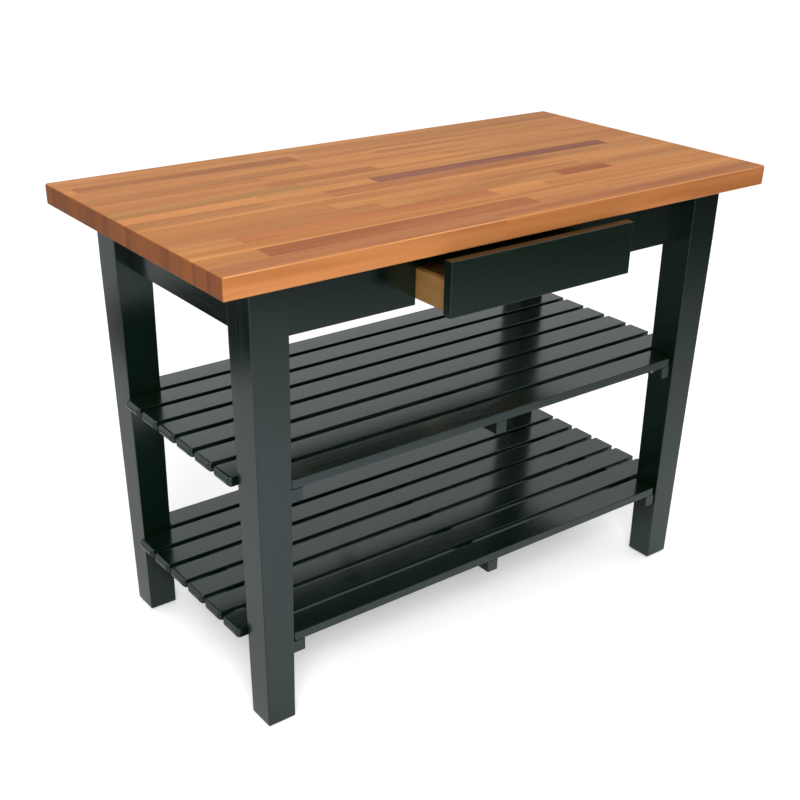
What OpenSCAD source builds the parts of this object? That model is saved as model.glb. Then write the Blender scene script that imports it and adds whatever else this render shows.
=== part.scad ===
// Butcher block table: an edge-glued hardwood top on a painted frame with tapered legs,
// one drawer and two slatted shelves. Millimetres. The origin is on the floor under the middle
// of the table's overall box, open drawer included, X along the length, -Y towards the drawer
// side, Z up.

/* [Top] */
// Length of the top
top_length = 1219; // [1000:1:1600]
// Depth of the top, front to back
top_depth = 635; // [600:1:760]
// Thickness of the top
top_thick = 38; // [30:1:60]
// Radius of every outer edge of the top
top_round = 4; // [2:0.5:10]
// Height of the working surface above the floor
table_height = 889; // [860:1:960]

/* [Legs] */
// Side of the square leg where the aprons meet it
leg_size = 70; // [66:1:90]
// Side of the square leg at the floor
leg_foot = 57; // [45:1:66]
// Radius round the bottom of each leg
foot_round = 8; // [2:0.5:12]
// How far the top overhangs the legs at each end
overhang_x = 69; // [30:1:120]
// How far the top overhangs the legs at front and back
overhang_y = 47.5; // [20:0.5:60]

/* [Aprons] */
// Height of the apron boards
apron_height = 109; // [105:1:115]
// Thickness of the apron boards
apron_thick = 20; // [18:0.5:24]
// Step back from the outer face of the legs to the outer face of the aprons
apron_setback = 29; // [24:0.5:32]

/* [Shelves] */
// Height of the upper shelf's surface above the floor
upper_shelf_top = 495; // [420:1:560]
// Height of the lower shelf's surface above the floor
lower_shelf_top = 186; // [120:1:260]
// Width of one slat
slat_width = 54; // [50:0.5:56]
// Gap between two slats
slat_gap = 13; // [10:0.5:14]
// Thickness of the slats
slat_thick = 18; // [15:0.5:20]
// Length of the slats that run past the legs
long_slat_length = 1106; // [1060:1:1120]
// Radius of the slats' long edges
slat_edge_round = 2; // [1:0.5:4]
// Radius of the slats' end edges
slat_end_round = 8; // [2:0.5:8]
// Radius of the slats' upright corners
slat_corner_round = 8; // [1:0.5:10]
// Width and height of the square cleats under the slats
cleat_size = 25; // [20:1:30]

/* [Drawer] */
// Width of the drawer front
front_width = 420; // [410:1:440]
// Height of the drawer front
front_height = 96; // [90:1:98]
// Thickness of the drawer front
front_thick = 19; // [16:0.5:22]
// Gap between the top and the drawer front
front_top_gap = 4; // [3:0.5:6]
// Width of the notch that the drawer slides through
notch_width = 398; // [390:1:400]
// Height of the notch, up from the apron's bottom edge
notch_height = 67; // [66:1:69]
// Height of the drawer box
box_height = 53; // [48:1:54]
// Length of the drawer box, front to back
box_length = 420; // [400:1:430]
// Thickness of the drawer box's boards
box_thick = 12; // [10:0.5:14]
// Thickness of the drawer's bottom panel
bottom_thick = 5; // [4:0.5:6]
// How far the drawer stands open
drawer_open = 87; // [0:1:260]

/* [Hidden] */
SLATS = 8;
FOOT_STEPS = 6;
CORNERS = ["front_left", "front_right", "back_left", "back_right"];
SIDES = ["left", "right"];
PLACES = ["left", "middle", "right"];
$fn = 48;

// Colours
cherry = "#C8905F";
paint = "#2C3434";
maple = "#D3A46C";
beech = "#C9AE84";
steel = "#BFC3C6";

// Clearance round a fastener, and the amount a cut runs past a face
fastener_gap = 0.1;
past = 1;

// Frame. Everything is laid out about the centre of the top, and moved by centre_y at the end
leg_height = table_height - top_thick;
apron_bottom = leg_height - apron_height;
leg_x = top_length / 2 - overhang_x - leg_size / 2;
leg_y = top_depth / 2 - overhang_y - leg_size / 2;
leg_inner_x = leg_x - leg_size / 2;
leg_inner_y = leg_y - leg_size / 2;
apron_x = leg_x + leg_size / 2 - apron_setback;
apron_y = leg_y + leg_size / 2 - apron_setback;
apron_in_x = apron_x - apron_thick;
apron_in_y = apron_y - apron_thick;
function leg_half(z) = leg_size / 2 - (leg_size - leg_foot) / 2 * max(0, 1 - z / apron_bottom);

// Corner joint: the leg's hidden inner arris is cut to a flat that the corner block pulls on
leg_flat = 14;
block_width = 36;
block_height = 80;
joint_z = apron_bottom + apron_height / 2;
hanger_r = 4;
hanger_depth = 40;
washer_r = 9;
washer_thick = 1.6;
nut_flats = 13;
nut_height = 6.5;
hanger_tail = 5;
// The middle of that flat, along X and along Y from the inner corner of the aprons
flat_at = (apron_in_x - leg_inner_x) - leg_flat / 2;
block_thick = block_width / sqrt(2);

// Wood screws: shank, head and countersink
screw_r = 2;
screw_head_r = 4;
screw_head_h = 2.4;
block_screw_length = 25;
block_screw_z = 22;
block_screw_seat = 10;
seat_gap = 1;

// Brackets under the top
bracket_width = 30;
bracket_leg = 28;
bracket_steel = 2;
bracket_hole_at = 17;
bracket_screw_length = 17;
bracket_front_x = 340;

// Shelves
slat_pitch = slat_width + slat_gap;
shelf_depth = (SLATS - 1) * slat_pitch + slat_width;
leg_gap = 0.5;
slat_bite = 12;
slat_screw_length = cleat_size + slat_bite;
outer_screw_shift = 14;
cleat_bolt_r = 3;
leg_bite = 38;
cleat_bolt_length = cleat_size + leg_bite;
cleat_bolt_head_r = 6;
cleat_bolt_head_h = 4;
function slat_y(i) = (SLATS + 1 - 2 * i) / 2 * slat_pitch;
function slat_shift(i) = i == 1 ? outer_screw_shift : i == SLATS ? -outer_screw_shift : 0;
function slat_screw_y(i) = slat_y(i) - slat_shift(i);
function shelf_inner_x(top) = leg_x - leg_half(top) - leg_gap;
function cleat_x(place, top) = (place - 1) * (shelf_inner_x(top) - cleat_size / 2);

// Drawer, placed by the back face of its front
slide_gap = 0.3;
front_back_y = -apron_y - slide_gap - drawer_open;
front_face_y = front_back_y - front_thick;
front_bottom = leg_height - front_top_gap - front_height;
centre_y = max(0, -front_face_y - top_depth / 2) / 2;
side_gap = 1.5;
box_half = notch_width / 2 - side_gap;
box_in_half = box_half - box_thick;
notch_gap = 3;
box_top = apron_bottom + notch_height - notch_gap;
box_bottom = box_top - box_height;
groove_depth = 6;
bottom_recess = 6;
bottom_z = box_bottom + bottom_recess;
back_inset = 42;
back_y = front_back_y + box_length - back_inset;
stop_width = 40;
stop_depth = 10;
stop_below = 26;
stop_above = 10;
stop_screw_short = 2;
pull_width = 120;
pull_slot = 11;
pull_depth = 10;
drawer_screw_x = 130;
drawer_screw_z = 15;
drawer_screw_length = 24;

// Runners and kickers
runner_web = 20;
runner_drop = 2;
ledge_past = 0.5;
ledge_width = notch_width / 2 - box_in_half + ledge_past;
kicker_height = 22;
kicker_gap = 1;
kicker_bottom = box_top + kicker_gap;
housing_depth = 5;
kicker_screw_inset = 26;
kicker_screw_length = 26;

// ---- Shared shapes ----

// A rectangle with round corners, centred
module round_rect(w, h, r) {
    square([w - 2 * r, h], center = true);
    square([w, h - 2 * r], center = true);
    for (x = [-1, 1], y = [-1, 1])
        translate([x * (w / 2 - r), y * (h / 2 - r)]) circle(r);
}

// A board lying along X, with its own radius on the long edges, the end edges and the upright corners
module round_board(length, width, thick, long_r, end_r, corner_r) {
    intersection() {
        rotate([90, 0, 90]) linear_extrude(length, center = true) round_rect(width, thick, long_r);
        rotate([90, 0, 0]) linear_extrude(width + past, center = true) round_rect(length, thick, end_r);
        linear_extrude(thick + past, center = true) round_rect(length, width, corner_r);
    }
}

// A countersunk screw, head at the origin, pointing up; grow widens it into its own hole
module screw(length, grow = 0) {
    translate([0, 0, -grow]) cylinder(r = screw_r + grow, h = length + 2 * grow);
    translate([0, 0, -grow]) cylinder(r1 = screw_head_r + 2 * grow, r2 = screw_r + grow,
                                      h = screw_head_h + grow);
}

// Moves a front left corner piece to corner i of CORNERS
module at_corner(i) {
    mirror([i % 2, 0, 0]) mirror([0, i < 2 ? 0 : 1, 0]) children();
}

// Moves a left hand piece to side i of SIDES
module at_side(i) {
    mirror([i, 0, 0]) children();
}

module every_corner() {
    for (i = [0:3]) at_corner(i) children();
}

// ---- Top ----

module butcher_block_top() {
    color(cherry) difference() {
        translate([0, 0, leg_height + top_thick / 2])
            round_board(top_length, top_depth, top_thick, top_round, top_round, top_round);
        each_bracket() bracket_top_screw(fastener_gap);
    }
}

// ---- Legs and corner joints ----

// The right hand outline of a leg, from the floor to its top
function leg_outline() = concat(
    [for (i = [0:FOOT_STEPS]) [leg_half(foot_round) - foot_round * (1 - sin(90 * i / FOOT_STEPS)),
                               foot_round * (1 - cos(90 * i / FOOT_STEPS))]],
    [[leg_size / 2, apron_bottom], [leg_size / 2, leg_height]]);

module leg_profile() {
    right = leg_outline();
    polygon(concat(right, [for (i = [len(right) - 1:-1:0]) [-right[i][0], right[i][1]]]));
}

module leg() {
    color(paint) difference() {
        translate([-leg_x, -leg_y, 0]) intersection() {
            rotate([90, 0, 0]) linear_extrude(leg_size + past, center = true) leg_profile();
            rotate([90, 0, 90]) linear_extrude(leg_size + past, center = true) leg_profile();
        }
        translate([-leg_inner_x, -leg_inner_y, apron_bottom]) rotate([0, 0, 45])
            translate([-leg_flat / sqrt(2), -leg_size / 2, 0])
                cube([leg_size, leg_size, apron_height + past]);
        hanger_bolt(fastener_gap);
        for (top = [upper_shelf_top, lower_shelf_top]) left_cleat_bolt(top, fastener_gap);
    }
}

// Places children on the corner joint's axis, pointing from the leg to the room inside the aprons
module on_joint_axis(from_flat = 0) {
    translate([-apron_in_x + flat_at, -apron_in_y + flat_at, joint_z])
        rotate([0, 0, 45]) rotate([0, 90, 0]) translate([0, 0, from_flat]) children();
}

module hanger_bolt(grow = 0) {
    length = hanger_depth + block_thick + washer_thick + nut_height + hanger_tail;
    on_joint_axis(-hanger_depth - grow) cylinder(r = hanger_r + grow, h = length + 2 * grow);
}

module hanger_washer() {
    on_joint_axis(block_thick) difference() {
        cylinder(r = washer_r, h = washer_thick);
        translate([0, 0, -past]) cylinder(r = hanger_r + fastener_gap, h = washer_thick + 2 * past);
    }
}

module hanger_nut() {
    on_joint_axis(block_thick + washer_thick) difference() {
        cylinder(r = nut_flats / sqrt(3), h = nut_height, $fn = 6);
        translate([0, 0, -past]) cylinder(r = hanger_r + fastener_gap, h = nut_height + 2 * past);
    }
}

// Two screws through one end of the block into the side apron
module block_end_screws(grow = 0, seat = false) {
    reach = 2 * flat_at + block_width / 2;
    for (z = [-block_screw_z, block_screw_z])
        translate([-apron_in_x + block_screw_seat, -apron_in_y + reach, joint_z + z])
            rotate([0, -90, 0]) {
                screw(block_screw_length, grow);
                if (seat)
                    translate([0, 0, -block_width]) cylinder(r = screw_head_r + seat_gap, h = block_width);
            }
}

// The same screws at both ends of the block: the two ends mirror each other across the joint's axis
module block_screws(grow = 0, seat = false) {
    block_end_screws(grow, seat);
    translate([-apron_in_x, -apron_in_y, 0]) mirror([1, -1, 0]) translate([apron_in_x, apron_in_y, 0])
        block_end_screws(grow, seat);
}

module corner_block() {
    near = 2 * flat_at;
    far = near + block_width;
    color(beech) difference() {
        translate([-apron_in_x, -apron_in_y, joint_z - block_height / 2])
            linear_extrude(block_height) polygon([[near, 0], [far, 0], [0, far], [0, near]]);
        hanger_bolt(fastener_gap);
        block_screws(fastener_gap, true);
    }
}

// ---- Aprons ----

module apron_front() {
    color(paint) difference() {
        translate([-leg_inner_x, -apron_y, apron_bottom])
            cube([2 * leg_inner_x, apron_thick, apron_height]);
        translate([-notch_width / 2, -apron_y - past, apron_bottom - past])
            cube([notch_width, apron_thick + 2 * past, notch_height + past]);
        for (i = [0:1]) at_side(i) runner_web_block();
        for (i = [0:1]) at_corner(i) block_screws(fastener_gap);
        each_bracket() bracket_side_screw(fastener_gap);
    }
}

module apron_back() {
    color(paint) difference() {
        translate([-leg_inner_x, apron_in_y, apron_bottom])
            cube([2 * leg_inner_x, apron_thick, apron_height]);
        for (i = [0:1]) at_side(i) runner_web_block();
        for (i = [2:3]) at_corner(i) block_screws(fastener_gap);
        each_bracket() bracket_side_screw(fastener_gap);
    }
}

module apron_end() {
    color(paint) difference() {
        translate([-apron_x, -leg_inner_y, apron_bottom]) cube([apron_thick, 2 * leg_inner_y, apron_height]);
        for (i = [0, 2]) at_corner(i) block_screws(fastener_gap);
        each_bracket() bracket_side_screw(fastener_gap);
    }
}

// ---- Brackets that hold the top ----

// Children stand at each bracket's inner corner, facing +Y away from an apron behind it
module each_bracket() {
    for (x = [-bracket_front_x, 0, bracket_front_x]) {
        translate([x, -apron_in_y, leg_height]) children();
        translate([x, apron_in_y, leg_height]) rotate([0, 0, 180]) children();
    }
    for (i = [0:1])
        translate([(2 * i - 1) * apron_in_x, 0, leg_height]) rotate([0, 0, 180 * i - 90]) children();
}

module bracket_top_screw(grow = 0) {
    translate([0, bracket_hole_at, -bracket_steel]) screw(bracket_screw_length, grow);
}

module bracket_side_screw(grow = 0) {
    translate([0, bracket_steel, -bracket_hole_at]) rotate([90, 0, 0]) screw(bracket_screw_length, grow);
}

module top_brackets() {
    color(steel) each_bracket() difference() {
        translate([-bracket_width / 2, 0, -bracket_leg]) cube([bracket_width, bracket_leg, bracket_leg]);
        translate([-bracket_width / 2 - past, bracket_steel, -bracket_leg - past])
            cube([bracket_width + 2 * past, bracket_leg, bracket_leg + past - bracket_steel]);
        bracket_top_screw(fastener_gap);
        bracket_side_screw(fastener_gap);
    }
}

module top_bracket_screws() {
    color(steel) each_bracket() {
        bracket_top_screw();
        bracket_side_screw();
    }
}

// ---- Shelves ----

// The outer slats fit between the legs, and the others run past them
module slat(i, top) {
    outer = i == 1 || i == SLATS;
    length = outer ? 2 * shelf_inner_x(top) : long_slat_length;
    color(paint) difference() {
        translate([0, slat_y(i), top - slat_thick / 2])
            round_board(length, slat_width, slat_thick, slat_edge_round, slat_end_round, slat_corner_round);
        slat_screws(i, top, fastener_gap);
    }
}

module cleat(place, top) {
    color(paint) difference() {
        translate([cleat_x(place, top), 0, top - slat_thick - cleat_size / 2])
            cube([cleat_size, shelf_depth, cleat_size], center = true);
        for (i = [1:SLATS]) slat_screws(i, top, fastener_gap);
        for (i = [0:3]) at_corner(i) left_cleat_bolt(top, fastener_gap);
    }
}

// One screw up through each cleat into slat i
module slat_screws(i, top, grow = 0) {
    for (place = [0:2])
        translate([cleat_x(place, top), slat_screw_y(i), top - slat_thick - cleat_size])
            screw(slat_screw_length, grow);
}

module shelf_screws(top) {
    color(steel) for (i = [1:SLATS]) slat_screws(i, top);
}

// The bolt through the left cleat into the front left leg
module left_cleat_bolt(top, grow = 0) {
    translate([-shelf_inner_x(top) + cleat_size, -leg_y, top - slat_thick - cleat_size / 2])
        rotate([0, -90, 0]) {
            cylinder(r = cleat_bolt_r + grow, h = cleat_bolt_length + grow);
            if (grow == 0)
                translate([0, 0, -cleat_bolt_head_h]) cylinder(r = cleat_bolt_head_r, h = cleat_bolt_head_h);
        }
}

module cleat_bolts(top) {
    color(steel) every_corner() left_cleat_bolt(top);
}

// ---- Drawer runners ----

// The upright part of the left runner, which is housed in both aprons
module runner_web_block() {
    reach = apron_in_y + housing_depth;
    translate([-notch_width / 2 - runner_web, -reach, apron_bottom + runner_drop])
        cube([runner_web, 2 * reach, kicker_bottom + kicker_height - apron_bottom - runner_drop]);
}

module drawer_runner() {
    color(beech) difference() {
        union() {
            runner_web_block();
            translate([-notch_width / 2, -apron_in_y, apron_bottom + runner_drop])
                cube([ledge_width, 2 * apron_in_y, box_bottom - slide_gap - apron_bottom - runner_drop]);
        }
        kicker_side_screws(fastener_gap);
    }
}

module drawer_kicker() {
    color(beech) difference() {
        translate([-notch_width / 2, -apron_in_y, kicker_bottom])
            cube([ledge_width, 2 * apron_in_y, kicker_height]);
        kicker_side_screws(fastener_gap);
    }
}

module kicker_side_screws(grow = 0) {
    for (y = [-1, 0, 1])
        translate([-notch_width / 2 + ledge_width, y * (apron_in_y - kicker_screw_inset),
                   kicker_bottom + kicker_height / 2])
            rotate([0, -90, 0]) screw(kicker_screw_length, grow);
}

// ---- Drawer ----

module drawer_front() {
    slot_y = front_back_y - front_thick / 2;
    color(paint) difference() {
        translate([-front_width / 2, front_face_y, front_bottom])
            cube([front_width, front_thick, front_height]);
        translate([-pull_width / 2, slot_y - pull_slot / 2, front_bottom - past])
            cube([pull_width, pull_slot, pull_depth + past - pull_slot / 2]);
        translate([-pull_width / 2, slot_y, front_bottom + pull_depth - pull_slot / 2])
            rotate([0, 90, 0]) cylinder(d = pull_slot, h = pull_width);
        drawer_front_screws(fastener_gap);
    }
}

// Screws from inside the box into the drawer front
module drawer_front_screws(grow = 0) {
    for (x = [-drawer_screw_x, drawer_screw_x], z = [-1, 1])
        translate([x, front_back_y + box_thick, (box_top + bottom_z + bottom_thick) / 2 + z * drawer_screw_z])
            rotate([90, 0, 0]) screw(drawer_screw_length, grow);
}

// The panel slides in grooves in the sides and the box front, and runs under the back
module drawer_bottom() {
    panel_half = box_in_half + groove_depth - slide_gap;
    front_edge = front_back_y + box_thick - groove_depth + slide_gap;
    color(maple) translate([-panel_half, front_edge, bottom_z])
        cube([2 * panel_half, back_y + box_thick - front_edge, bottom_thick]);
}

// The front tongue fits a rabbet in each side, and the groove takes the bottom panel
module drawer_box_front() {
    tongue = box_in_half + groove_depth;
    color(maple) difference() {
        translate([-tongue, front_back_y, box_bottom]) cube([2 * tongue, box_thick, box_height]);
        translate([-tongue - past, front_back_y + box_thick - groove_depth, bottom_z])
            cube([2 * tongue + 2 * past, groove_depth + past, bottom_thick]);
        drawer_front_screws(fastener_gap);
    }
}

module drawer_back() {
    tongue = box_in_half + groove_depth;
    color(maple) difference() {
        translate([-tongue, back_y, bottom_z + bottom_thick])
            cube([2 * tongue, box_thick, box_top - bottom_z - bottom_thick]);
        drawer_stop_screw(fastener_gap);
    }
}

module drawer_side() {
    inner = -box_in_half - groove_depth;
    color(maple) difference() {
        translate([-box_half, front_back_y, box_bottom]) cube([box_thick, box_length, box_height]);
        translate([inner, front_back_y - past, box_bottom - past])
            cube([box_thick, box_thick + past, box_height + 2 * past]);
        translate([inner, back_y, bottom_z + bottom_thick])
            cube([box_thick, box_thick, box_height]);
        translate([inner, front_back_y - past, bottom_z])
            cube([box_thick, box_length + 2 * past, bottom_thick]);
    }
}

// The block on the back that meets the front apron when the drawer is pulled right out
module drawer_stop() {
    color(beech) difference() {
        translate([-stop_width / 2, back_y - stop_depth, box_top - stop_below])
            cube([stop_width, stop_depth, stop_below + stop_above]);
        drawer_stop_screw(fastener_gap);
    }
}

module drawer_stop_screw(grow = 0) {
    translate([0, back_y - stop_depth, box_top - stop_below / 2])
        rotate([-90, 0, 0]) screw(stop_depth + box_thick - stop_screw_short, grow);
}

// ---- Assembly ----

translate([0, centre_y, 0]) {
    butcher_block_top();
    apron_front();
    apron_back();
    for (i = [0:1]) {
        at_side(i) apron_end();
        at_side(i) drawer_runner();
        at_side(i) drawer_kicker();
        at_side(i) drawer_side();
    }
    for (i = [0:3]) {
        at_corner(i) leg();
        at_corner(i) corner_block();
    }
    color(steel) every_corner() hanger_bolt();  // hanger_bolts
    color(steel) every_corner() hanger_washer();  // hanger_washers
    color(steel) every_corner() hanger_nut();  // hanger_nuts
    color(steel) every_corner() block_screws();  // corner_block_screws
    top_brackets();
    top_bracket_screws();
    for (i = [1:SLATS]) {
        slat(i, upper_shelf_top);
        slat(i, lower_shelf_top);
    }
    for (i = [0:2]) {
        cleat(i, upper_shelf_top);
        cleat(i, lower_shelf_top);
    }
    shelf_screws(upper_shelf_top);  // upper_slat_screws
    shelf_screws(lower_shelf_top);  // lower_slat_screws
    cleat_bolts(upper_shelf_top);  // upper_cleat_bolts
    cleat_bolts(lower_shelf_top);  // lower_cleat_bolts
    color(steel) for (i = [0:1]) at_side(i) kicker_side_screws();  // kicker_screws
    drawer_front();
    drawer_box_front();
    drawer_back();
    drawer_bottom();
    color(steel) drawer_front_screws();
    drawer_stop();
    color(steel) drawer_stop_screw();
}
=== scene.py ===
"""Butcher block table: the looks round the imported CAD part. Metres, the part's own frame."""

import math
import random

import bmesh
import bpy
from mathutils import Euler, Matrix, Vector


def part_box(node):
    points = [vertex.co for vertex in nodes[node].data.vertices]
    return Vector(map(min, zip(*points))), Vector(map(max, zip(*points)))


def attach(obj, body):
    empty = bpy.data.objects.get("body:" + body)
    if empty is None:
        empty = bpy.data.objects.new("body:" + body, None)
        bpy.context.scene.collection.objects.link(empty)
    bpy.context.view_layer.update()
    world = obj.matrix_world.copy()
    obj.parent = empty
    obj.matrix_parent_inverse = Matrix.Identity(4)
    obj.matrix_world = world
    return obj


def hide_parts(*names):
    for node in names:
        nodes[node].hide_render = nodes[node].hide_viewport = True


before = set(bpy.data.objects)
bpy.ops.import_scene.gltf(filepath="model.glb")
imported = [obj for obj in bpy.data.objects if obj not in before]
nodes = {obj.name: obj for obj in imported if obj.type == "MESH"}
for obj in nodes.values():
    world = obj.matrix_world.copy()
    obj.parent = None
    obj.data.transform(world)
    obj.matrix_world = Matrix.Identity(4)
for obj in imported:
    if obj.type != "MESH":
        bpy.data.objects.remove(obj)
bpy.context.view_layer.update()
scene = bpy.context.scene

SIDES = ("left", "right")
CORNERS = ("front_left", "front_right", "back_left", "back_right")
PLACES = ("left", "middle", "right")
SHELVES = ("upper", "lower")
SLATS_ON_A_SHELF = 8


# ---- Camera ----

CAMERA_PLACE = (-1.393, -1.739, 1.436)
# Degrees about X, Y and Z: the tilt, the roll and the turn
CAMERA_ANGLES = (61.74, -2.03, -35.37)
SENSOR_WIDTH = 36.0
FOCAL_LENGTH = 53.50
FRAME_SHIFT = 0.1014
FAR_CLIP = 100

camera = bpy.data.objects.new("camera", bpy.data.cameras.new("camera"))
scene.collection.objects.link(camera)
scene.camera = camera
camera.location = CAMERA_PLACE
camera.rotation_mode = "YXZ"
camera.rotation_euler = Euler([math.radians(angle) for angle in CAMERA_ANGLES], "YXZ")
camera.data.sensor_width = SENSOR_WIDTH
camera.data.lens = FOCAL_LENGTH
camera.data.shift_y = FRAME_SHIFT
camera.data.clip_end = FAR_CLIP


# ---- Node helpers ----

class Graph:
    """Builds one material's nodes. An input is a number, a tuple or another node's socket."""

    def __init__(self, tree):
        self.tree = tree
        tree.nodes.clear()

    def add(self, kind, inputs=(), **settings):
        node = self.tree.nodes.new(kind)
        for key, value in settings.items():
            setattr(node, key, value)
        for key, value in dict(inputs).items():
            self.put(node.inputs[key], value)
        return node

    def put(self, socket, value):
        if isinstance(value, bpy.types.NodeSocket):
            self.tree.links.new(value, socket)
        else:
            socket.default_value = value

    def math(self, operation, a, b=0.0):
        return self.add("ShaderNodeMath", {0: a, 1: b}, operation=operation).outputs[0]

    def vector(self, operation, a, b=(0.0, 0.0, 0.0)):
        return self.add("ShaderNodeVectorMath", {0: a, 1: b}, operation=operation).outputs[0]

    def measure(self, operation, a, b):
        """A dot product or a distance of two vectors."""
        return self.add("ShaderNodeVectorMath", {0: a, 1: b}, operation=operation).outputs["Value"]

    def split(self, vector):
        return self.add("ShaderNodeSeparateXYZ", {0: vector}).outputs

    def weigh(self, a, share, b):
        """This share of the first value and the rest of the second."""
        return self.math("ADD", self.math("MULTIPLY", a, share), self.math("MULTIPLY", b, 1 - share))

    def range(self, value, low, high, to_low=0.0, to_high=1.0, curve="SMOOTHSTEP"):
        names = {"Value": value, "From Min": low, "From Max": high, "To Min": to_low, "To Max": to_high}
        return self.add("ShaderNodeMapRange", names, interpolation_type=curve).outputs[0]

    def noise(self, place, scale, detail=2.0, distortion=0.0, roughness=0.5):
        names = {"Vector": place, "Scale": scale, "Detail": detail, "Distortion": distortion,
                 "Roughness": roughness}
        return self.add("ShaderNodeTexNoise", names).outputs["Fac"]

    def mix(self, factor, a, b, blend="MIX"):
        node = self.add("ShaderNodeMix", data_type="RGBA", blend_type=blend)
        for socket, value in zip((node.inputs[0], node.inputs[6], node.inputs[7]), (factor, a, b)):
            self.put(socket, value)
        return node.outputs[2]

    def bump(self, height, strength, distance):
        names = {"Height": height, "Strength": strength, "Distance": distance}
        return self.add("ShaderNodeBump", names).outputs[0]

    def finish(self, **inputs):
        shader = self.add("ShaderNodeBsdfPrincipled", {k.replace("_", " "): v for k, v in inputs.items()})
        out = self.add("ShaderNodeOutputMaterial")
        self.tree.links.new(shader.outputs[0], out.inputs[0])


def material(name):
    made = bpy.data.materials.new(name)
    made.use_nodes = True
    return made, Graph(made.node_tree)


def rgb(red, green, blue):
    return (red, green, blue, 1.0)


# ---- Materials ----

# Textures are stretched twenty times along the fibres or the brush strokes
GRAIN_ALONG = {"x": (0.7, 14, 14), "y": (14, 0.7, 14), "z": (14, 14, 0.7)}
FIGURE_SHARE = 0.87
PORE_SHADE = 0.55
BLOTCH_COVER = 0.35
GRAIN_BUMP = 0.14
GRAIN_DEPTH = 0.0004
OILED_IOR = 1.25
LACQUERED_IOR = 1.45

END_PALE = rgb(0.245, 0.079, 0.022)
END_DEEP = rgb(0.185, 0.057, 0.016)
END_PATCH = rgb(0.125, 0.048, 0.020)
END_TINT = 0.85
END_ROUGHER = 0.15
RING_SHARE = 0.6
# A paler cherry painted on the long rounded edges of the top as a highlight
ARRIS_HIGHLIGHT_CHERRY = rgb(0.72, 0.36, 0.16)

PAINT_DEEP = rgb(0.0010, 0.0060, 0.0024)
PAINT_PALE = rgb(0.0018, 0.0074, 0.0036)
PAINT_GLOSS_TINT = rgb(0.765, 0.93, 1.0)
PAINT_IOR = 1.58
ORANGE_PEEL = 0.25


def end_grain(g, place, tint):
    """Growth rings and flecks on the ends of the staves, with some darker patches."""
    bands = {"Vector": g.vector("MULTIPLY", place, (0.0, 1.0, 0.45)), "Scale": 95.0, "Distortion": 5.0,
             "Detail": 2.0, "Detail Scale": 0.6}
    rings = g.add("ShaderNodeTexWave", bands, wave_type="BANDS", bands_direction="Y").outputs["Fac"]
    flecks = g.noise(place, scale=520.0)
    tone = g.range(g.weigh(rings, RING_SHARE, flecks), low=0.2, high=0.8)
    colour = g.mix(tone, END_PALE, END_DEEP)
    patches = g.noise(g.vector("MULTIPLY", place, (0.0, 1.0, 0.12)), scale=26.0)
    colour = g.mix(g.range(patches, low=0.40, high=0.62, to_high=0.55), colour, END_PATCH)
    return g.mix(END_TINT, colour, tint, "MULTIPLY")


def stave_looks(g, place, figure, colour, rough):
    """Gives the staves their tints, end grain where they are cut across, and a painted highlight: paler long
    rounded edges.
    """
    tint = g.add("ShaderNodeAttribute", attribute_name="stave_tint").outputs["Color"]
    normal = g.add("ShaderNodeNewGeometry").outputs["Normal"]
    facing_x, facing_y, facing_z = g.split(g.vector("ABSOLUTE", normal))
    cut = g.range(facing_x, low=0.6, high=0.9)
    colour = g.mix(1.0, colour, tint, "MULTIPLY")
    colour = g.mix(cut, colour, end_grain(g, place, tint))
    # Painted highlight: the long rounded edges turn paler, unevenly with the figure, and the ends stay plain
    bent = g.range(g.math("MAXIMUM", facing_y, facing_z), low=0.97, high=0.78)
    uneven = g.range(figure, low=0.35, high=0.6, to_low=0.25, to_high=0.6)
    long_edge = g.range(facing_x, low=0.30, high=0.05)
    painted_highlight = g.math("MULTIPLY", g.math("MULTIPLY", bent, uneven), long_edge)
    colour = g.mix(painted_highlight, colour, ARRIS_HIGHLIGHT_CHERRY)
    return colour, g.math("ADD", rough, g.math("MULTIPLY", cut, END_ROUGHER))


def wood(name, pale, deep, along, roughness, streak, staves=False):
    """Wood with its fibres along one axis. With staves, each stave has its own tone and grain."""
    made, g = material(name)
    place = g.add("ShaderNodeTexCoord").outputs["Object"]
    if staves:
        shift = g.add("ShaderNodeAttribute", attribute_name="stave_shift").outputs["Vector"]
        place = g.vector("ADD", place, shift)
    fibres = g.vector("MULTIPLY", place, GRAIN_ALONG[along])
    figure = g.noise(fibres, scale=2.2, detail=1.0, distortion=0.6)
    lines = g.noise(fibres, scale=19.0, detail=4.0, distortion=0.3, roughness=0.65)
    pores = g.noise(fibres, scale=70.0)
    blotch = g.noise(fibres, scale=1.2, distortion=0.4)
    tone = g.range(g.weigh(figure, FIGURE_SHARE, lines), low=0.28, high=0.72)
    colour = g.mix(tone, pale, deep)
    pore_colour = rgb(*(PORE_SHADE * part for part in deep[:3]))
    pore_cover = g.math("MULTIPLY", g.range(pores, low=0.58, high=0.72), streak)
    colour = g.mix(pore_cover, colour, pore_colour)
    colour = g.mix(g.range(blotch, low=0.35, high=0.65, to_high=BLOTCH_COVER), colour, deep)
    rough = g.range(lines, low=0.3, high=0.7, to_low=roughness - 0.05, to_high=roughness + 0.07)
    if staves:
        colour, rough = stave_looks(g, place, figure, colour, rough)
    normal = g.bump(g.math("ADD", lines, pores), GRAIN_BUMP, GRAIN_DEPTH)
    g.finish(Base_Color=colour, Roughness=rough, Normal=normal, IOR=OILED_IOR if staves else LACQUERED_IOR)
    return made


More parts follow.
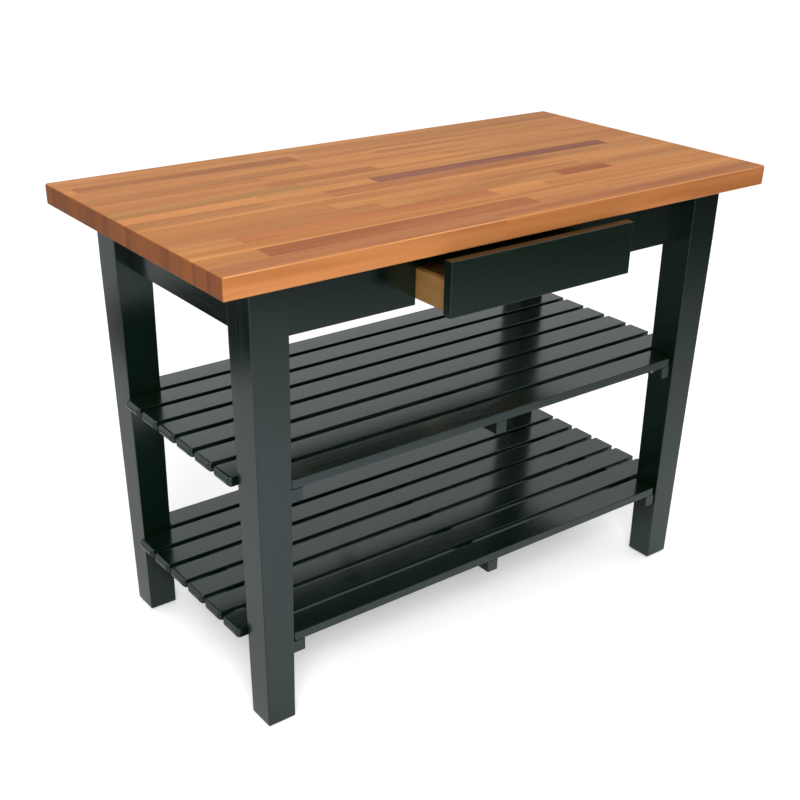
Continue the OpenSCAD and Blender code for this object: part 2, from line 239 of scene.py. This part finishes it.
def paint(name, along):
    """Gloss black paint: a faint brush texture along the board, and uneven gloss."""
    made, g = material(name)
    place = g.add("ShaderNodeTexCoord").outputs["Object"]
    strokes = g.vector("MULTIPLY", place, GRAIN_ALONG[along])
    brush = g.noise(strokes, scale=22.0, detail=4.0, distortion=0.2, roughness=0.6)
    peel = g.noise(place, scale=240.0)
    cloud = g.noise(place, scale=6.0, detail=3.0)
    colour = g.mix(g.range(cloud, low=0.3, high=0.7), PAINT_DEEP, PAINT_PALE)
    rough = g.range(brush, low=0.3, high=0.7, to_low=0.14, to_high=0.21)
    height = g.math("ADD", brush, g.math("MULTIPLY", peel, ORANGE_PEEL))
    normal = g.bump(height, strength=0.10, distance=0.0003)
    g.finish(Base_Color=colour, Roughness=rough, Normal=normal, IOR=PAINT_IOR,
             Specular_Tint=PAINT_GLOSS_TINT)
    return made


def zinc():
    """Bright zinc plating, for the fasteners and brackets."""
    made, g = material("zinc_steel")
    place = g.add("ShaderNodeTexCoord").outputs["Object"]
    spangle = g.noise(place, scale=420.0, detail=3.0)
    haze = g.noise(place, scale=60.0)
    colour = g.mix(g.range(haze, low=0.3, high=0.7), rgb(0.60, 0.61, 0.62), rgb(0.74, 0.74, 0.72))
    rough = g.range(spangle, low=0.3, high=0.7, to_low=0.22, to_high=0.38)
    normal = g.bump(spangle, strength=0.08, distance=0.0002)
    g.finish(Base_Color=colour, Metallic=1.0, Roughness=rough, Normal=normal)
    return made


def maple(axis):
    return wood("maple_" + axis, pale=rgb(0.290, 0.155, 0.048), deep=rgb(0.215, 0.108, 0.031),
                along=axis, roughness=0.42, streak=0.25)


def beech(axis):
    return wood("beech_" + axis, pale=rgb(0.50, 0.35, 0.21), deep=rgb(0.40, 0.26, 0.145),
                along=axis, roughness=0.55, streak=0.35)


def cherry():
    return wood("cherry_staves", pale=rgb(0.545, 0.226, 0.058), deep=rgb(0.380, 0.136, 0.029),
                along="x", roughness=0.50, streak=0.07, staves=True)


PAINTS = {axis: paint("black_paint_" + axis, axis) for axis in "xyz"}
MAPLES = {axis: maple(axis) for axis in "xy"}
BEECHES = {axis: beech(axis) for axis in "xyz"}
CHERRY = cherry()
ZINC = zinc()


# ---- Mesh helpers ----

def add_object(name, bm, finish):
    mesh = bpy.data.meshes.new(name)
    bm.to_mesh(mesh)
    bm.free()
    mesh.materials.append(finish)
    made = bpy.data.objects.new(name, mesh)
    scene.collection.objects.link(made)
    return made


# Faces that meet at more than this many degrees stay sharp
SHARP_ANGLE = 35.0
ROUNDED_SHARP_ANGLE = 60.0


def shade(piece, angle=SHARP_ANGLE):
    """Smooths over the rounded edges only, and keeps the flats flat."""
    mesh = piece.data
    mesh.shade_smooth()
    mesh.set_sharp_from_angle(angle=math.radians(angle))
    weighted = piece.modifiers.new("flats", "WEIGHTED_NORMAL")
    weighted.keep_sharp = True


WELD_DISTANCE = 1e-6
FLAT_ANGLE = math.radians(0.5)
# The edges to ease: bent more than this, and longer than this
EASED_ANGLE = math.radians(30)
EASED_LENGTH = 0.010
EASED_STEPS = 3


def soften(node, finish, body, width):
    """The CAD node's own shape with its long outer edges eased, standing for that node."""
    bm = bmesh.new()
    bm.from_mesh(nodes[node].data)
    bmesh.ops.remove_doubles(bm, verts=bm.verts, dist=WELD_DISTANCE)
    bmesh.ops.dissolve_limit(bm, angle_limit=FLAT_ANGLE, verts=bm.verts, edges=bm.edges)
    edges = [e for e in bm.edges if e.is_manifold and e.is_convex
             and e.calc_face_angle() > EASED_ANGLE and e.calc_length() > EASED_LENGTH]
    bmesh.ops.bevel(bm, geom=edges, offset=width, segments=EASED_STEPS, profile=0.5, affect="EDGES",
                    clamp_overlap=True)
    piece = add_object(node + "_eased", bm, finish)
    shade(piece)
    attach(piece, body)
    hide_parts(node)


# ---- The butcher block top ----

# Widths of the glued rows from the front edge to the back edge, as shares of the top's depth
ROW_WIDTHS = (45, 43, 36, 38, 38, 36, 36, 40, 34, 36, 38, 36, 38, 36, 38, 36, 31)
EDGE_ROUND = 0.004
ROUND_STEPS = 6
# Tints multiply the colour of the wood
PURPLE = (0.52, 0.43, 0.84)
RED = (0.86, 0.78, 0.74)
ROSE = (0.86, 0.68, 0.62)
BROWN = (0.67, 0.51, 0.46)
DARK_RED = (0.67, 0.46, 0.45)
OLIVE = (0.88, 0.99, 1.04)
FAINT = (0.84, 0.80, 0.84)
# Staves that stand out, by row from the front: where they start and end, and their tint
MARKED = {
    1: (-0.50, 0.05, BROWN),
    3: (-0.50, 0.025, ROSE),
    4: (0.22, 0.35, DARK_RED),
    7: (-0.23, 0.28, RED),
    8: (-0.106, 0.49, PURPLE),
    9: (-0.609, -0.24, OLIVE),
    14: (-0.59, -0.135, FAINT),
}
# The row that shows as the front edge is tinted a little redder and darker than the rest, a tint that paints
# in how its front face is lit, and it gets painted shade that deepens towards the right end
FRONT_LIGHTING_TINT = (0.92, 0.86, 1.04)
FRONT_PAINTED_SHADE = 0.25
TOP_SEED = 1207
STAVE_LENGTHS = (0.24, 0.66)
# What is left of a row stays one stave once it is shorter than this
LONGEST_REST = 0.75
# Random cuts keep this far from a marked stave
CLEAR_OF_MARKED = 0.12
STAVE_LIGHTNESS = (0.91, 1.10)
STAVE_WARMTH = (-0.07, 0.07)
WARMTH_IN_RED = 0.4
# How far each stave's grain is moved along each axis, in metres
GRAIN_SHIFT = (-3, 3)
SAME_POINT = 1e-9
POINT_DIGITS = 7
CUT_DIGITS = 5
LEAST_GAP = 1e-4


def stave_ends(row, half, rng):
    """Cuts a row into staves and returns (start, end, tint or None) for each."""
    cuts = [-half]
    while cuts[-1] < half - LONGEST_REST:
        cuts.append(cuts[-1] + rng.uniform(*STAVE_LENGTHS))
    cuts.append(half)
    if row not in MARKED:
        return [(a, b, None) for a, b in zip(cuts, cuts[1:])]
    start, end, tint = MARKED[row]
    kept = {c for c in cuts if c < start - CLEAR_OF_MARKED or c > end + CLEAR_OF_MARKED}
    cuts = sorted(kept | {-half, start, end, half})
    return [(a, b, tint if a == start else None) for a, b in zip(cuts, cuts[1:])]


def grid_lines(half, cuts):
    """Positions across one axis: close together in the rounded edge, and one at each cut."""
    bend = [EDGE_ROUND * math.sin(math.pi / 2 * i / ROUND_STEPS) for i in range(1, ROUND_STEPS + 1)]
    flat = half - EDGE_ROUND
    inner = sorted(c for c in cuts if abs(c) < flat - LEAST_GAP)
    return [-flat - b for b in reversed(bend)] + [-flat] + inner + [flat] + [flat + b for b in bend]


def rounded_block(lines, half, centre):
    """A closed box skin on a grid, with every vertex of the edge zone moved onto the edge radius."""
    bm = bmesh.new()
    seen = {}

    def vertex(point):
        key = tuple(round(c, POINT_DIGITS) for c in point)
        if key not in seen:
            core = Vector([max(-h + EDGE_ROUND, min(h - EDGE_ROUND, c)) for c, h in zip(point, half)])
            away = Vector(point) - core
            moved = core + away.normalized() * EDGE_ROUND if away.length > SAME_POINT else core
            seen[key] = bm.verts.new(moved + centre)
        return seen[key]

    for axis in range(3):
        u, v = (axis + 1) % 3, (axis + 2) % 3
        for side in (-1, 1):
            for a0, a1 in zip(lines[u], lines[u][1:]):
                for b0, b1 in zip(lines[v], lines[v][1:]):
                    corners = []
                    for a, b in ((a0, b0), (a1, b0), (a1, b1), (a0, b1)):
                        point = [0.0, 0.0, 0.0]
                        point[axis], point[u], point[v] = side * half[axis], a, b
                        corners.append(vertex(point))
                    if side < 0:
                        corners.reverse()
                    bm.faces.new(corners)
    return bm


def stave_look(start, end, tint, in_front, half, rng):
    """One stave's end, tint and grain shift. A marked stave makes its random draws as well."""
    light, warm = rng.uniform(*STAVE_LIGHTNESS), rng.uniform(*STAVE_WARMTH)
    own = tint or (light * (1 + WARMTH_IN_RED * warm), light, light * (1 - warm))
    # The front row takes the painted light tint, and painted shade that deepens towards its right end
    if in_front:
        painted_shade = 1 - FRONT_PAINTED_SHADE * max(0.0, (start + end) / 2 / half)
        own = tuple(a * b * painted_shade for a, b in zip(own, FRONT_LIGHTING_TINT))
    return end, own, [rng.uniform(*GRAIN_SHIFT) for _ in range(3)]


def make_top():
    rng = random.Random(TOP_SEED)
    low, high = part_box("butcher_block_top")
    half, centre = (high - low) / 2, (high + low) / 2
    share = 2 * half.y / sum(ROW_WIDTHS)
    rows = [-half.y]
    for width in ROW_WIDTHS:
        rows.append(rows[-1] + width * share)
    staves = [stave_ends(i, half.x, rng) for i in range(len(ROW_WIDTHS))]
    cuts = {round(start, CUT_DIGITS) for row in staves for start, _, _ in row[1:]}
    lines = [grid_lines(half.x, cuts), grid_lines(half.y, rows[1:-1]), grid_lines(half.z, [])]
    bm = rounded_block(lines, half, centre)
    looks = [[stave_look(*stave, i == 0, half.x, rng) for stave in row] for i, row in enumerate(staves)]
    tint_layer = bm.loops.layers.float_color.new("stave_tint")
    shift_layer = bm.loops.layers.float_color.new("stave_shift")
    for face in bm.faces:
        middle = face.calc_center_median() - centre
        row = sum(middle.y > edge for edge in rows[1:-1])
        _, own, move = next((look for look in looks[row] if middle.x < look[0]), looks[row][-1])
        for loop in face.loops:
            loop[tint_layer] = (*own, 1.0)
            loop[shift_layer] = (*move, 1.0)
    piece = add_object("butcher_block_top_staves", bm, CHERRY)
    shade(piece, ROUNDED_SHARP_ANGLE)
    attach(piece, "table")
    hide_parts("butcher_block_top")


make_top()


# ---- Painted frame ----

LEG_EASE = 0.0016
BOARD_EASE = 0.0010
DRAWER_FRONT_EASE = 0.0014

for corner in CORNERS:
    soften("leg_" + corner, PAINTS["z"], "table", LEG_EASE)
for name, axis in (("front", "x"), ("back", "x"), ("left", "y"), ("right", "y")):
    soften("apron_" + name, PAINTS[axis], "table", BOARD_EASE)
for shelf in SHELVES:
    for place in PLACES:
        soften(f"{shelf}_cleat_{place}", PAINTS["y"], "table", BOARD_EASE)
soften("drawer_front", PAINTS["x"], "drawer", DRAWER_FRONT_EASE)


# ---- Shelf slats ----

# Radii of a slat's end: over its thickness, round its corners seen from above, and along its edges
NOSE_ROUND = 0.0085
CORNER_ROUND = 0.009
ARRIS_ROUND = 0.0015
NOSE_STEPS = 9
ARRIS_STEPS = 3


def taken_off(depth, radius):
    """How far a rounded end has drawn in at this depth from its tip."""
    left = radius - min(depth, radius)
    return radius - math.sqrt(radius ** 2 - left ** 2)


def section_ring(bm, centre, x, wide, high):
    """One rounded rectangle of vertices across a slat, this wide and high from its middle."""
    radius = min(ARRIS_ROUND, wide, high)
    ring = []
    for quarter, (side, up) in enumerate(((1, 1), (-1, 1), (-1, -1), (1, -1))):
        for step in range(ARRIS_STEPS + 1):
            turn = math.pi / 2 * (quarter + step / ARRIS_STEPS)
            across = side * (wide - radius) + radius * math.cos(turn)
            above = up * (high - radius) + radius * math.sin(turn)
            ring.append(bm.verts.new(centre + Vector((x, across, above))))
    return ring


def make_slat(node):
    """A slat as a row of rounded sections that draw in towards both tips."""
    low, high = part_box(node)
    half, centre = (high - low) / 2, (high + low) / 2
    depths = [CORNER_ROUND * (1 - math.cos(math.pi / 2 * i / NOSE_STEPS)) for i in range(NOSE_STEPS + 1)]
    stations = [(d - half.x, d) for d in depths] + [(half.x - d, d) for d in reversed(depths)]
    bm = bmesh.new()
    rings = []
    for x, depth in stations:
        wide = half.y - taken_off(depth, CORNER_ROUND)
        rings.append(section_ring(bm, centre, x, wide, half.z - taken_off(depth, NOSE_ROUND)))
    for a, b in zip(rings, rings[1:]):
        for i in range(len(a)):
            j = (i + 1) % len(a)
            bm.faces.new((a[i], a[j], b[j], b[i]))
    bm.faces.new(rings[0])
    bm.faces.new(list(reversed(rings[-1])))
    bmesh.ops.recalc_face_normals(bm, faces=bm.faces)
    piece = add_object(node + "_nosed", bm, PAINTS["x"])
    shade(piece, ROUNDED_SHARP_ANGLE)
    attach(piece, "table")
    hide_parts(node)


for shelf in SHELVES:
    for i in range(1, SLATS_ON_A_SHELF + 1):
        make_slat(f"{shelf}_slat_{i}")


# ---- Drawer box and hidden wood ----

BOX_SIDE_EASE = 0.0005
BOX_BOARD_EASE = 0.0004
RAIL_EASE = 0.0006
STOP_EASE = 0.0008
BLOCK_EASE = 0.0010

for side in SIDES:
    soften("drawer_side_" + side, MAPLES["y"], "drawer", BOX_SIDE_EASE)
    soften("drawer_runner_" + side, BEECHES["y"], "table", RAIL_EASE)
    soften("drawer_kicker_" + side, BEECHES["y"], "table", RAIL_EASE)
for name in ("drawer_box_front", "drawer_back", "drawer_bottom"):
    soften(name, MAPLES["x"], "drawer", BOX_BOARD_EASE)
soften("drawer_stop", BEECHES["x"], "drawer", STOP_EASE)
for corner in CORNERS:
    soften("corner_block_" + corner, BEECHES["z"], "table", BLOCK_EASE)


# ---- CAD nodes that keep their own shape ----

def repaint(node, finish):
    mesh = nodes[node].data
    mesh.materials.clear()
    mesh.materials.append(finish)


for shelf in SHELVES:
    repaint(shelf + "_slat_screws", ZINC)
    repaint(shelf + "_cleat_bolts", ZINC)
for name in ("hanger_bolts", "hanger_washers", "hanger_nuts", "corner_block_screws", "top_brackets",
             "top_bracket_screws", "kicker_screws", "drawer_front_screws", "drawer_stop_screw"):
    repaint(name, ZINC)


# ---- Floor, light and surroundings ----

WHITE = rgb(1, 1, 1)
FLOOR_RADIUS = 40.0
# Added to the floor as the camera sees it, so that it stays pale out to its edge
FLOOR_LIFT = 0.30

SUN_STRENGTH = 0.30
SUN_SPREAD = math.radians(42)
SUN_WAY = (0.02, 0.62, -0.78)

# The dome's light: behind the table, in front of it, and on its right as a share of the rest
DOME_BACK = 0.96
DOME_FRONT = 0.25
DOME_RIGHT = 0.68
BACK_WAY = (0.45, 0.80, 0.40)

CARD_REACH = 6.0
CARD_HEIGHT = 0.0006
# The card thickens towards the front right, thinly covers the left, and has a round patch behind on the left
CARD_FRONT_WAY = (0.6, -0.8, 0.0)
CARD_PATCH = (-1.62, 1.60, 0.0)
CARD_COLOUR = rgb(0.02, 0.02, 0.02)


def make_floor():
    bm = bmesh.new()
    bmesh.ops.create_circle(bm, cap_ends=True, radius=FLOOR_RADIUS, segments=96)
    made, g = material("floor")
    seen = g.add("ShaderNodeLightPath").outputs["Is Camera Ray"]
    g.finish(Base_Color=rgb(0.93, 0.93, 0.93), Roughness=0.9, Emission_Color=WHITE,
             Emission_Strength=g.math("MULTIPLY", seen, FLOOR_LIFT))
    floor = add_object("floor", bm, made)


def add_lamp(name, kind, power, way):
    """A lamp that shines along this direction."""
    lamp = bpy.data.lights.new(name, kind)
    lamp.energy = power
    made = bpy.data.objects.new(name, lamp)
    made.rotation_euler = Vector(way).to_track_quat("-Z", "Y").to_euler()
    scene.collection.objects.link(made)
    return made


def make_sun():
    sun = add_lamp("key", "SUN", SUN_STRENGTH, SUN_WAY)
    sun.data.angle = SUN_SPREAD


def make_soft_box(name, place, aim, width, height, power):
    box = add_lamp(name, "AREA", power, Vector(aim) - Vector(place))
    box.location = place
    box.data.shape = "RECTANGLE"
    box.data.size, box.data.size_y = width, height


def make_world():
    """A plain dome, bright behind the table, dimmer in front and on the right. The camera sees it white."""
    world = bpy.data.worlds.new("studio")
    scene.world = world
    world.use_nodes = True
    g = Graph(world.node_tree)
    way = g.add("ShaderNodeTexCoord").outputs["Generated"]
    back = g.measure("DOT_PRODUCT", way, BACK_WAY)
    level = g.range(back, low=-0.5, high=0.45, to_low=DOME_FRONT, to_high=DOME_BACK)
    level = g.math("MULTIPLY", level, g.range(g.split(way)[0], 0.32, 0.92, 1.0, DOME_RIGHT))
    seen = g.add("ShaderNodeLightPath").outputs["Is Camera Ray"]
    strength = g.math("ADD", level, g.math("MULTIPLY", seen, g.math("SUBTRACT", 1.0, level)))
    lit = g.add("ShaderNodeBackground", {"Color": WHITE, "Strength": strength})
    out = g.add("ShaderNodeOutputWorld")
    world.node_tree.links.new(lit.outputs[0], out.inputs[0])


def make_reflection_card():
    """A dark card on the floor that only gloss sees, as a studio lays one to keep black paint black."""
    made, g = material("reflection_card")
    position = g.add("ShaderNodeNewGeometry").outputs["Position"]
    front = g.range(g.measure("DOT_PRODUCT", position, CARD_FRONT_WAY), low=0.8, high=2.9, to_high=0.92,
                    curve="LINEAR")
    left = g.range(g.split(position)[0], low=-0.44, high=-0.60, to_high=0.30)
    patch = g.range(g.measure("DISTANCE", position, CARD_PATCH), low=0.75, high=0.35)
    cover = g.math("MAXIMUM", g.math("MAXIMUM", front, left), patch)
    clear = g.add("ShaderNodeBsdfTransparent")
    dark = g.add("ShaderNodeBsdfDiffuse", {"Color": CARD_COLOUR})
    mixed = g.add("ShaderNodeMixShader", {0: cover, 1: clear.outputs[0], 2: dark.outputs[0]})
    out = g.add("ShaderNodeOutputMaterial")
    made.node_tree.links.new(mixed.outputs[0], out.inputs[0])
    bm = bmesh.new()
    bmesh.ops.create_grid(bm, x_segments=2, y_segments=2, size=CARD_REACH)
    card = add_object("reflection_card", bm, made)
    card.location.z = CARD_HEIGHT
    for ray in ("camera", "diffuse", "transmission", "volume_scatter", "shadow"):
        setattr(card, "visible_" + ray, False)


make_floor()
make_world()
make_sun()
# The left box makes the top darken a little towards its right end; the right one lights the front arris
make_soft_box("left_box", place=(-1.7, -2.2, 2.2), aim=(-0.3, 0.0, 0.7), width=1.6, height=1.2, power=86)
make_soft_box("right_box", place=(2.2, -1.7, 2.5), aim=(0.0, -0.3, 0.85), width=0.8, height=0.8, power=4)
make_reflection_card()
scene.view_settings.view_transform = "Standard"
